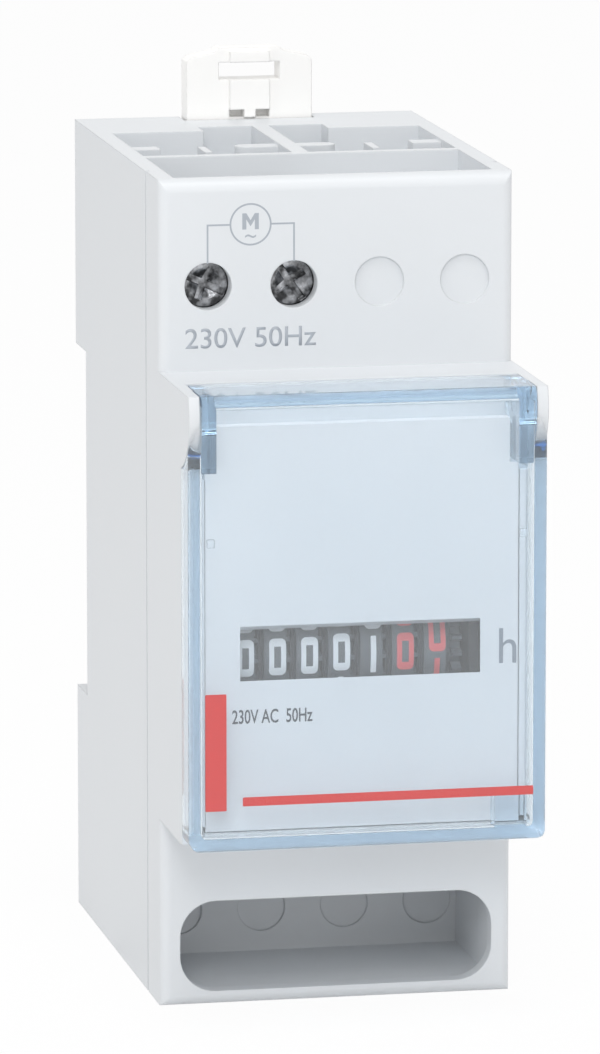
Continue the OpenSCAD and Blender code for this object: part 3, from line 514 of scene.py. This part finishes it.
class Bench:
    """Models one piece with Blender's own tools, in millimetres, in the X-Z plane facing the reader."""

    def __init__(self, name: str) -> None:
        """Keep the name of the piece to come."""
        self.name = name
        self.piece: bpy.types.Object | None = None

    @staticmethod
    def deselect() -> None:
        """Leave nothing selected, so that a tool acts on the new piece alone."""
        if bpy.context.object and bpy.context.object.mode != "OBJECT":
            bpy.ops.object.mode_set(mode="OBJECT")
        bpy.ops.object.select_all(action="DESELECT")

    def adopt(self) -> None:
        """Take the object that a tool has just added."""
        self.piece = bpy.context.object
        self.piece.name = self.name
        self.piece.data.name = self.name

    def plane(self, width: float, height: float, x: float, z: float) -> "Bench":
        """Start from a flat plate that faces the reader.

        Args:
            width: Size along X.
            height: Size along Z.
            x: Middle along X.
            z: Middle along Z.

        Returns:
            This bench.
        """
        self.deselect()
        bpy.ops.mesh.primitive_plane_add(size=1)
        self.adopt()
        self.piece.scale = (width * MM, height * MM, 1)
        self.piece.rotation_euler = (math.pi / 2, 0, 0)
        self.piece.location = (x * MM, 0, z * MM)
        return self.settle()

    def disc(self, radius: float, x: float, z: float, sides: int = 64) -> "Bench":
        """Start from a flat disc that faces the reader.

        Args:
            radius: Radius of the disc.
            x: Middle along X.
            z: Middle along Z.
            sides: Corners of the disc.

        Returns:
            This bench.
        """
        self.deselect()
        bpy.ops.mesh.primitive_circle_add(vertices=sides, radius=radius * MM, fill_type="NGON")
        self.adopt()
        self.piece.rotation_euler = (math.pi / 2, 0, 0)
        self.piece.location = (x * MM, 0, z * MM)
        return self.settle()

    def words(
        self, text: str, height: float, width: float, x: float, z: float, weight: float = 0.0,
    ) -> "Bench":
        """Start from lettering, fitted to a box that faces the reader.

        Args:
            text: The words.
            height: Height of the box.
            width: Width of the box.
            x: Left edge of the box.
            z: Lower edge of the box.
            weight: Growth of the strokes, as a share of the letter size.

        Returns:
            This bench.
        """
        self.deselect()
        bpy.ops.object.text_add()
        self.adopt()
        self.piece.data.body = text
        self.piece.data.offset = weight
        self.piece.data.resolution_u = LETTER_CURVES
        bpy.ops.object.convert(target="MESH")
        self.adopt()
        corners = [vertex.co for vertex in self.piece.data.vertices]
        low = [min(corner[axis] for corner in corners) for axis in (0, 1)]
        high = [max(corner[axis] for corner in corners) for axis in (0, 1)]
        spread = (width * MM / (high[0] - low[0]), height * MM / (high[1] - low[1]))
        self.piece.scale = (spread[0], spread[1], 1)
        self.piece.rotation_euler = (math.pi / 2, 0, 0)
        self.piece.location = (x * MM - low[0] * spread[0], 0, z * MM - low[1] * spread[1])
        return self.settle()

    def settle(self) -> "Bench":
        """Move the object's place into its mesh.

        Returns:
            This bench.
        """
        bpy.ops.object.transform_apply(location=True, rotation=True, scale=True)
        return self

    def select(self, kind: str, wanted: Callable[[Vector], bool]) -> None:
        """Select faces, edges or vertices by their middle, in millimetres.

        Args:
            kind: faces, edges or verts.
            wanted: Says yes to the middle of what is wanted.
        """
        bpy.ops.object.mode_set(mode="EDIT")
        mode = {"faces": "FACE", "edges": "EDGE", "verts": "VERT"}[kind]
        bpy.ops.mesh.select_mode(type=mode)
        bpy.ops.mesh.select_all(action="DESELECT")
        shape = bmesh.from_edit_mesh(self.piece.data)
        for part in getattr(shape, kind):
            if kind == "faces":
                middle = part.calc_center_median()
            elif kind == "edges":
                middle = (part.verts[0].co + part.verts[1].co) / 2
            else:
                middle = part.co
            part.select_set(wanted(middle / MM))
        shape.select_flush_mode()
        bmesh.update_edit_mesh(self.piece.data)

    def round_corners(self, radius: float) -> "Bench":
        """Round all corners of a flat plate.

        Args:
            radius: Radius of the corners.

        Returns:
            This bench.
        """
        self.select("verts", lambda middle: True)
        bpy.ops.mesh.bevel(offset=radius * MM, segments=CORNER_SEGMENTS, affect="VERTICES")
        bpy.ops.object.mode_set(mode="OBJECT")
        return self

    def cut(self, axis: Vector, levels: list[float]) -> "Bench":
        """Cut the faces along planes across an axis.

        Args:
            axis: Direction across the planes.
            levels: Places of the planes along that axis.

        Returns:
            This bench.
        """
        bpy.ops.object.mode_set(mode="EDIT")
        for level in levels:
            bpy.ops.mesh.select_all(action="SELECT")
            bpy.ops.mesh.bisect(plane_co=axis * level * MM, plane_no=axis)
        bpy.ops.object.mode_set(mode="OBJECT")
        return self

    def drop_faces(self, wanted: Callable[[Vector], bool]) -> "Bench":
        """Remove faces by their middle, in millimetres.

        Args:
            wanted: Says yes to the middle of a face that goes.

        Returns:
            This bench.
        """
        self.select("faces", wanted)
        bpy.ops.mesh.delete(type="FACE")
        bpy.ops.object.mode_set(mode="OBJECT")
        return self

    def ring(self, stroke: float) -> "Bench":
        """Turn a flat plate into a ring of one stroke's width.

        Args:
            stroke: Width of the ring.

        Returns:
            This bench.
        """
        self.select("faces", lambda middle: True)
        bpy.ops.mesh.inset(thickness=stroke * MM)
        bpy.ops.mesh.delete(type="FACE")
        bpy.ops.object.mode_set(mode="OBJECT")
        return self

    def pull_edge(self, wanted: Callable[[Vector], bool], by: Vector) -> "Bench":
        """Draw out edges of a flat plate.

        Args:
            wanted: Says yes to the middle of an edge that is drawn out.
            by: Way and distance in millimetres.

        Returns:
            This bench.
        """
        self.select("edges", wanted)
        bpy.ops.mesh.extrude_region_move(TRANSFORM_OT_translate={"value": by * MM})
        bpy.ops.object.mode_set(mode="OBJECT")
        return self

    def join(self, others: list["Bench"]) -> "Bench":
        """Join other pieces into this one.

        Args:
            others: Benches whose pieces become part of this one.

        Returns:
            This bench.
        """
        self.deselect()
        for other in others:
            other.piece.select_set(True)
        self.piece.select_set(True)
        bpy.context.view_layer.objects.active = self.piece
        bpy.ops.object.join()
        return self

    def thicken(self, film: float) -> "Bench":
        """Give a flat print its film thickness, half on each side.

        Args:
            film: Thickness of the film.

        Returns:
            This bench.
        """
        self.deselect()
        self.piece.select_set(True)
        bpy.context.view_layer.objects.active = self.piece
        bpy.ops.object.mode_set(mode="EDIT")
        bpy.ops.mesh.select_all(action="SELECT")
        bpy.ops.mesh.remove_doubles(threshold=WELD_M)
        bpy.ops.object.mode_set(mode="OBJECT")
        solid = self.piece.modifiers.new("film", "SOLIDIFY")
        solid.thickness = film * MM
        solid.offset = 0
        bpy.ops.object.modifier_apply(modifier=solid.name)
        return self

    def move(self, by: Vector) -> "Bench":
        """Move the piece, for instance onto the face that carries it.

        Args:
            by: Way and distance in millimetres.

        Returns:
            This bench.
        """
        self.piece.data.transform(Matrix.Translation(by * MM))
        return self

    def hand_over(self, body: str, slot: str, finish: Moulded) -> bpy.types.Object:
        """Finish the piece: its body and its looks.

        Args:
            body: Body that the piece moves with.
            slot: Not used.
            finish: The finish to wear.

        Returns:
            The finished piece.
        """
        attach(self.piece, body)
        WARDROBE.dress(self.piece, finish)
        LOG.info("%s rides on %s", self.piece.name, body)
        return self.piece


# Sub-assemblies


@dataclass
class Housing:
    """Grey base and front shell, with the supply symbol and lettering on the shoulder."""

    face_y: float = -44.0
    film: float = 0.02
    symbol_x: float = -8.65
    symbol_z: float = 36.95
    symbol_r: float = 2.1
    stroke: float = 0.17
    letter_w: float = 1.65
    letter_h: float = 1.6
    letter_leg: float = 0.4
    letter_tip: float = 0.3
    letter_rise: float = 0.3
    wave_w: float = 1.1
    wave_h: float = 0.35
    wave_drop: float = 1.35
    lead_x: tuple[float, float] = (-12.95, -4.3)
    lead_foot_z: float = 33.2
    rating: str = "230V 50Hz"
    rating_box: tuple[float, float, float, float] = (-15.2, 24.75, 13.1, 2.0)
    rating_weight: float = 0.004

    def dress(self) -> None:
        """Put the grey on both mouldings."""
        WARDROBE.dress_nodes(["base_housing", "front_shell"], HOUSING_GREY)

    def build_symbol(self) -> bpy.types.Object:
        """Model the motor symbol: a ring with a letter, a wave and two leads.

        Returns:
            The printed symbol.
        """
        ring = Bench("print_motor_symbol").disc(self.symbol_r, self.symbol_x, self.symbol_z)
        ring.ring(self.stroke)
        letter = self.build_letter().move(Vector((self.symbol_x, 0, self.symbol_z + self.letter_rise)))
        wave_x = self.symbol_x - self.wave_w / 2
        wave = Bench("symbol_wave")
        wave.words("~", self.wave_h, self.wave_w, wave_x, self.symbol_z - self.wave_drop)
        leads = [self.build_lead(x) for x in self.lead_x]
        ring.join([letter, wave, *leads]).thicken(self.film).move(Vector((0, self.face_y, 0)))
        return ring.hand_over("housing", "housing", PRINT_GREY)

    def build_letter(self) -> Bench:
        """Model a bold M by cutting a plate along its legs and its two slanted strokes.

        Returns:
            The bench with the flat letter.
        """
        half, top = self.letter_w / 2 - self.letter_leg, self.letter_h / 2
        stroke = 1.5 * self.letter_leg
        slope = (self.letter_h - stroke - self.letter_tip) / half
        level = top - slope * half
        slant = Vector((slope, 0, 1))
        bench = Bench("symbol_letter").plane(self.letter_w, self.letter_h, 0, 0)
        bench.cut(Vector((1, 0, 0)), [-half, 0, half])
        for axis in (slant, slant * Vector((-1, 1, 1))):
            steps = [height / slant.length for height in (level, level - stroke)]
            bench.cut(axis.normalized(), steps)

        def is_open(middle: Vector) -> bool:
            """True beside the letter's strokes."""
            depth = level - middle.z + slope * abs(middle.x)
            return abs(middle.x) < half and not 0 < depth < stroke

        return bench.drop_faces(is_open)

    def build_lead(self, x: float) -> Bench:
        """Model one lead from the ring sideways and down to its screw hole.

        Args:
            x: Place of the lead's upright.

        Returns:
            The bench with the flat lead.
        """
        side = 1 if x > self.symbol_x else -1
        start = self.symbol_x + side * self.symbol_r
        end = x + side * self.stroke / 2
        bench = Bench("symbol_lead").plane(abs(end - start), self.stroke, (start + end) / 2, self.symbol_z)
        bench.cut(Vector((1, 0, 0)), [x - side * self.stroke / 2])
        low = self.symbol_z - self.stroke / 2

        def at_foot(middle: Vector) -> bool:
            """True for the lower edge at the lead's outer end."""
            return abs(middle.z - low) < self.stroke / 10 and abs(middle.x - x) < self.stroke

        return bench.pull_edge(at_foot, Vector((0, 0, self.lead_foot_z - low)))

    def build_rating(self) -> bpy.types.Object:
        """Letter the supply under the screws.

        Returns:
            The printed lettering.
        """
        x, z, width, height = self.rating_box
        bench = Bench("print_supply").words(self.rating, height, width, x, z, self.rating_weight)
        bench.thicken(self.film).move(Vector((0, self.face_y, 0)))
        return bench.hand_over("housing", "housing", PRINT_GREY)

    def build(self) -> None:
        """Model the prints and dress the mouldings."""
        self.dress()
        self.build_symbol()
        self.build_rating()


@dataclass
class DialPlate:
    """White plate with the unit letter and the small rating."""

    film: float = 0.02
    unit_box: tuple[float, float, float, float] = (13.7, -5.4, 1.75, 3.5)
    rating_box: tuple[float, float, float, float] = (-12.95, -10.45, 8.0, 1.4)
    rating_weight: float = 0.012
    unit: str = "h"
    rating: str = "230V AC  50Hz"

    def build(self) -> None:
        """Letter the plate and dress it."""
        WARDROBE.dress_nodes(["dial_plate"], DIAL_WHITE)
        face = Vector((0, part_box("dial_plate")[0].y / MM, 0))
        x, z, width, height = self.unit_box
        unit = Bench("print_unit").words(self.unit, height, width, x, z)
        unit.thicken(self.film).move(face).hand_over("housing", "dial", PRINT_UNIT)
        x, z, width, height = self.rating_box
        rating = Bench("print_rating").words(self.rating, height, width, x, z, self.rating_weight)
        rating.thicken(self.film).move(face).hand_over("housing", "dial", PRINT_DARK)


@dataclass
class ClearCover:
    """Hinged clear cover with a plain red tab and one red stripe just under its face."""

    film: float = 0.02
    sunk: float = 0.05
    corner: float = 0.12
    tab_box: tuple[float, float, float, float] = (-16.3, -18.3, 2.1, 11.6)
    stripe_box: tuple[float, float, float, float] = (-12.6, -17.9, 29.0, 0.9)

    def build(self) -> None:
        """Print the two red fields and dress the cover."""
        WARDROBE.dress_nodes(["clear_cover"], COVER_CLEAR)
        face = Vector((0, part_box("clear_cover")[0].y / MM + self.sunk, 0))
        for name, box in (("print_tab", self.tab_box), ("print_stripe", self.stripe_box)):
            x, z, width, height = box
            bench = Bench(name).plane(width, height, x + width / 2, z + height / 2)
            bench.round_corners(self.corner)
            bench.thicken(self.film).move(face).hand_over("cover", "cover", PRINT_RED)


class DigitCells(Enum):
    """Each digit as five rows of three cells, from the top."""

    ZERO = ("###", "#.#", "#.#", "#.#", "###")
    ONE = (".#.", ".#.", ".#.", ".#.", ".#.")
    TWO = ("###", "..#", "###", "#..", "###")
    THREE = ("###", "..#", "###", "..#", "###")
    FOUR = ("#.#", "#.#", "###", "..#", "..#")
    FIVE = ("###", "#..", "###", "..#", "###")
    SIX = ("###", "#..", "###", "#.#", "###")
    SEVEN = ("###", "..#", "..#", "..#", "..#")
    EIGHT = ("###", "#.#", "###", "#.#", "###")
    NINE = ("###", "#.#", "###", "..#", "###")


@dataclass
class NumberDrums:
    """Seven number drums, each with its ten digits printed round the ring."""

    digit_w: float = 1.68
    digit_h: float = 3.72
    stroke: float = 0.5
    bar: float = 0.55
    cap: float = 0.8
    corner: float = 0.5
    bar_corner: float = 0.05
    bend_step: float = 0.45
    bends: tuple[int, ...] = (-3, -2, -1, 1, 2, 3)
    shift: float = 0.2
    film: float = 0.02
    step_deg: float = 36.0
    shown: tuple[int, ...] = (0, 0, 0, 0, 1, 0, 0)
    slack_deg: tuple[float, ...] = (-0.8, -0.5, -0.3, 1.6, -1.2, 0.3, 14.6)
    red_from: int = 5
    names: list[str] = field(default_factory=lambda: [
        "drum_10000h", "drum_1000h", "drum_100h", "drum_10h", "drum_1h", "drum_tenths", "drum_hundredths",
    ])

    def build_digit(self, cells: DigitCells) -> Bench:
        """Model one flat digit by cutting a rounded plate into cells and dropping the open ones.

        Args:
            cells: Which cells the digit has.

        Returns:
            The bench with the flat digit.
        """
        is_bar = cells is DigitCells.ONE
        width = self.bar if is_bar else self.digit_w
        inner, half_h, half_s = self.digit_w / 2 - self.stroke, self.digit_h / 2, self.stroke / 2
        columns = [-inner, inner]
        rows = [half_h - self.cap, half_s, -half_s, self.cap - half_h]
        bench = Bench("digit").plane(width, self.digit_h, 0, 0)
        bench.round_corners(self.bar_corner if is_bar else self.corner)
        bench.cut(Vector((1, 0, 0)), columns)
        bends = [step * self.bend_step for step in self.bends]
        bench.cut(Vector((0, 0, 1)), sorted(rows + bends))

        def is_open(middle: Vector) -> bool:
            """True where the digit has no ink."""
            row = sum(middle.z < level for level in rows)
            column = sum(middle.x > level for level in columns)
            return cells.value[row][column] == "."

        return bench.drop_faces(is_open)

    def roll(self, bench: Bench, radius: float, turn_deg: float) -> None:
        """Lay a flat digit round a drum whose axis is X.

        Args:
            bench: The flat digit.
            radius: Radius of the drum in millimetres.
            turn_deg: Place of the digit round the drum, upwards from the front.
        """
        for vertex in bench.piece.data.vertices:
            angle = math.radians(turn_deg) + vertex.co.z / (radius * MM)
            vertex.co.y = -radius * MM * math.cos(angle)
            vertex.co.z = radius * MM * math.sin(angle)

    def build(self) -> None:
        """Model the ring of digits once, copy it onto each drum and dress the drums."""
        WARDROBE.dress_nodes(self.names, DRUM_BLACK)
        low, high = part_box(self.names[0])
        radius = (high.z - low.z) / 2 / MM
        digits = []
        for number, cells in enumerate(DigitCells):
            bench = self.build_digit(cells)
            self.roll(bench, radius + self.film / 2, -number * self.step_deg)
            digits.append(bench)
        ring = digits[0].join(digits[1:]).thicken(self.film)
        for place, name in enumerate(self.names):
            self.copy_ring(ring, name, place)
        bpy.data.objects.remove(ring.piece)

    def copy_ring(self, ring: Bench, name: str, place: int) -> None:
        """Put a copy of the digits on one drum, turned to the number that it shows.

        Args:
            ring: The modelled ring of digits.
            name: Node of the drum.
            place: Place of the drum from the left.
        """
        low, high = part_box(name)
        first_low, first_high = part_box(self.names[0])
        axis = Vector((0, (low.y + high.y) / 2, (low.z + high.z) / 2))
        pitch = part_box(self.names[1])[0].x - first_low.x
        axis.x = (first_low.x + first_high.x) / 2 + place * pitch + self.shift * MM
        turn = math.radians(self.shown[place] * self.step_deg + self.slack_deg[place])
        copy = Bench(f"digits_{name[5:]}")
        copy.piece = ring.piece.copy()
        copy.piece.data = ring.piece.data.copy()
        copy.piece.name = copy.piece.data.name = copy.name
        bpy.context.scene.collection.objects.link(copy.piece)
        copy.piece.data.transform(Matrix.Translation(axis) @ Matrix.Rotation(-turn, 4, "X"))
        copy.hand_over(name, "drum", DIGIT_RED if place >= self.red_from else DIGIT_WHITE)


@dataclass
class RailClip:
    """White slider that holds the housing on the rail."""

    def build(self) -> None:
        """Dress the clip."""
        WARDROBE.dress_nodes(["rail_clip"], CLIP_WHITE)


@dataclass
class Terminals:
    """Clamp screws, cages, tags and leads of the two terminals."""

    screw_x: tuple[float, float] = (-12.9, -4.3)
    screw_z: float = 30.9
    # The screws' dark colour and strong patchy noise are painted reflections: dark where a screw would
    # mirror a dark surround, bright patches for glints.
    screw_colour_darkened_for_reflection: Colour = (0.2, 0.205, 0.215)
    screw_roughness: float = 0.16
    screw_painted_reflection: float = 8.0
    sides: tuple[str, str] = ("left", "right")

    def build(self) -> None:
        """Dress the metal pieces and the leads."""
        for side, x in zip(self.sides, self.screw_x):
            # Each screw gets its own metal, centred on it, with its reflections painted into the colour.
            steel = TurnedMetal(
                f"screw_steel_{side}",
                self.screw_colour_darkened_for_reflection,
                centre_mm=(x, 0, self.screw_z),
                roughness=self.screw_roughness,
                stain_and_reflection=self.screw_painted_reflection,
            )
            WARDROBE.dress_nodes([f"terminal_screw_{side}"], steel)
            WARDROBE.dress_nodes([f"terminal_cage_{side}"], CAGE_STEEL)
            WARDROBE.dress_nodes([f"terminal_tag_{side}"], TAG_BRASS)
            WARDROBE.dress_nodes([f"lead_wire_{side}"], LEAD_BLACK)


@dataclass
class Counter:
    """Frame, shafts and gears behind the dial plate."""

    transfer_pinions: int = 6

    def build(self) -> None:
        """Dress the frame, the shafts and the gears."""
        WARDROBE.dress_nodes(["frame_plate_left", "frame_plate_right"], FRAME_BLACK)
        WARDROBE.dress_nodes(["frame_pillars", "drum_shaft", "pinion_shaft"], SHAFT_STEEL)
        pinions = [f"transfer_pinion_{number + 1}" for number in range(self.transfer_pinions)]
        WARDROBE.dress_nodes([*pinions, "intermediate_gear"], GEAR_WHITE)


@dataclass
class Motor:
    """Synchronous gear motor with its flange, screws and terminal block."""

    def build(self) -> None:
        """Dress the motor's pieces."""
        WARDROBE.dress_nodes(["motor_can", "motor_flange"], MOTOR_STEEL)
        WARDROBE.dress_nodes(["motor_screws", "motor_pinion"], SHAFT_STEEL)
        WARDROBE.dress_nodes(["coil_terminal"], COIL_BLACK)


# Studio


@dataclass(frozen=True)
class Softbox:
    """One square studio lamp, placed round the object."""

    name: str
    azimuth: float
    elevation: float
    distance: float
    size: float
    watts: float


def around(azimuth: float, elevation: float) -> Vector:
    """Direction from the object to a viewer.

    Args:
        azimuth: Degrees round the object, 0 in front of it.
        elevation: Degrees above the horizon.

    Returns:
        A unit vector.
    """
    a, e = math.radians(azimuth), math.radians(elevation)
    return Vector((math.sin(a) * math.cos(e), -math.cos(a) * math.cos(e), math.sin(e)))


@dataclass
class Studio:
    """Pale floor, soft light and the camera."""

    azimuth: float = -11.4
    elevation: float = 10.223
    distance: float = 0.8252
    lens: float = 276.73
    aim: Vector = field(default_factory=lambda: Vector((0, -0.021, 0)))
    aim_right: float = 0.917 * MM
    aim_up: float = 2.364 * MM
    sensor: float = 36.0
    near: float = 0.01
    floor_z: float = -41.5 * MM
    floor_size: float = 8.0
    floor_grey: float = 0.9
    floor_roughness: float = 0.9
    floor_glow: float = 0.94
    sky: float = 0.64
    bounces: int = 24
    lamps: tuple[Softbox, ...] = (
        Softbox("key_softbox", -15, 30, 0.8, 0.22, 1.4),
        Softbox("edge_softbox", -72, 12, 0.8, 0.2, 0.6),
        Softbox("fill_softbox", 40, 5, 0.9, 0.6, 0.5),
        Softbox("top_softbox", -5, 74, 0.8, 0.22, 1.9),
    )

    def build_camera(self) -> None:
        """Put the camera at the photograph's viewing angle."""
        a, e = math.radians(self.azimuth), math.radians(self.elevation)
        right = Vector((math.cos(a), math.sin(a), 0))
        up = Vector((-math.sin(e) * math.sin(a), math.sin(e) * math.cos(a), math.cos(e)))
        back = around(self.azimuth, self.elevation)
        target = self.aim + right * self.aim_right + up * self.aim_up
        lens = bpy.data.cameras.new("camera")
        lens.lens = self.lens
        lens.sensor_width = self.sensor
        lens.clip_start = self.near
        camera = bpy.data.objects.new("camera", lens)
        camera.location = target + back * self.distance
        camera.rotation_euler = back.to_track_quat("Z", "Y").to_euler()
        bpy.context.scene.collection.objects.link(camera)
        bpy.context.scene.camera = camera

    def build_lamps(self) -> None:
        """Hang the softboxes, each turned to the object."""
        for box in self.lamps:
            light = bpy.data.lights.new(box.name, "AREA")
            light.energy = box.watts
            light.size = box.size
            lamp = bpy.data.objects.new(box.name, light)
            way = around(box.azimuth, box.elevation)
            lamp.location = self.aim + way * box.distance
            lamp.rotation_euler = way.to_track_quat("Z", "Y").to_euler()
            bpy.context.scene.collection.objects.link(lamp)

    @staticmethod
    def seen_by(board: NodeBoard) -> bpy.types.NodeSocket:
        """Mask of rays that look: from the camera, a gloss or a clear piece.

        Args:
            board: Nodes of the world or of a material.

        Returns:
            The mask's socket.
        """
        path = board.add("LightPath").outputs
        looks = board.math("MAXIMUM", path["Is Camera Ray"], path["Is Glossy Ray"])
        return board.math("MAXIMUM", looks, path["Is Transmission Ray"])

    def build_world(self) -> None:
        """Make a white room that lights the object at a plain level."""
        world = bpy.data.worlds.new("white_room")
        world.use_nodes = True
        bpy.context.scene.world = world
        board = NodeBoard(world.node_tree)
        light = world.node_tree.nodes["Background"]
        light.inputs["Color"].default_value = (1, 1, 1, 1)
        light.inputs["Strength"].default_value = self.sky
        view = board.add("Background")
        view.inputs["Color"].default_value = (1, 1, 1, 1)
        view.inputs["Strength"].default_value = 1
        mix = board.add("MixShader")
        board.join(self.seen_by(board), mix.inputs["Fac"])
        board.join(light.outputs[0], mix.inputs[1])
        board.join(view.outputs[0], mix.inputs[2])
        board.join(mix.outputs[0], world.node_tree.nodes["World Output"].inputs["Surface"])

    def build_floor(self) -> None:
        """Lay the pale floor, which shows as white and keeps a soft shadow."""
        Bench.deselect()
        bpy.ops.mesh.primitive_plane_add(size=self.floor_size, location=(0, 0, self.floor_z))
        floor = bpy.context.object
        floor.name = "floor"
        material, board, shader = start_material("floor_white")
        shader.inputs["Base Color"].default_value = (*[self.floor_grey] * 3, 1)
        shader.inputs["Roughness"].default_value = self.floor_roughness
        glow = board.add("Emission")
        glow.inputs["Color"].default_value = (1, 1, 1, 1)
        mix = board.add("MixShader")
        share = board.math("MULTIPLY", self.seen_by(board), self.floor_glow)
        board.join(share, mix.inputs["Fac"])
        board.join(shader.outputs["BSDF"], mix.inputs[1])
        board.join(glow.outputs["Emission"], mix.inputs[2])
        board.join(mix.outputs[0], material.node_tree.nodes["Material Output"].inputs["Surface"])
        floor.data.materials.append(material)

    def build(self) -> None:
        """Set up camera, light and floor."""
        bpy.context.scene.view_settings.view_transform = "Standard"
        bpy.context.scene.cycles.max_bounces = self.bounces
        bpy.context.scene.cycles.transmission_bounces = self.bounces
        self.build_camera()
        self.build_lamps()
        self.build_world()
        self.build_floor()


def main() -> None:
    """Build the studio and each sub-assembly in order."""
    logging.basicConfig(level=logging.INFO, format="%(message)s")
    Studio().build()
    for assembly in (
        Housing(), DialPlate(), NumberDrums(), ClearCover(), RailClip(), Terminals(), Counter(), Motor(),
    ):
        assembly.build()
        LOG.info("%s is done", type(assembly).__name__)


if __name__ == "__main__":
    main()
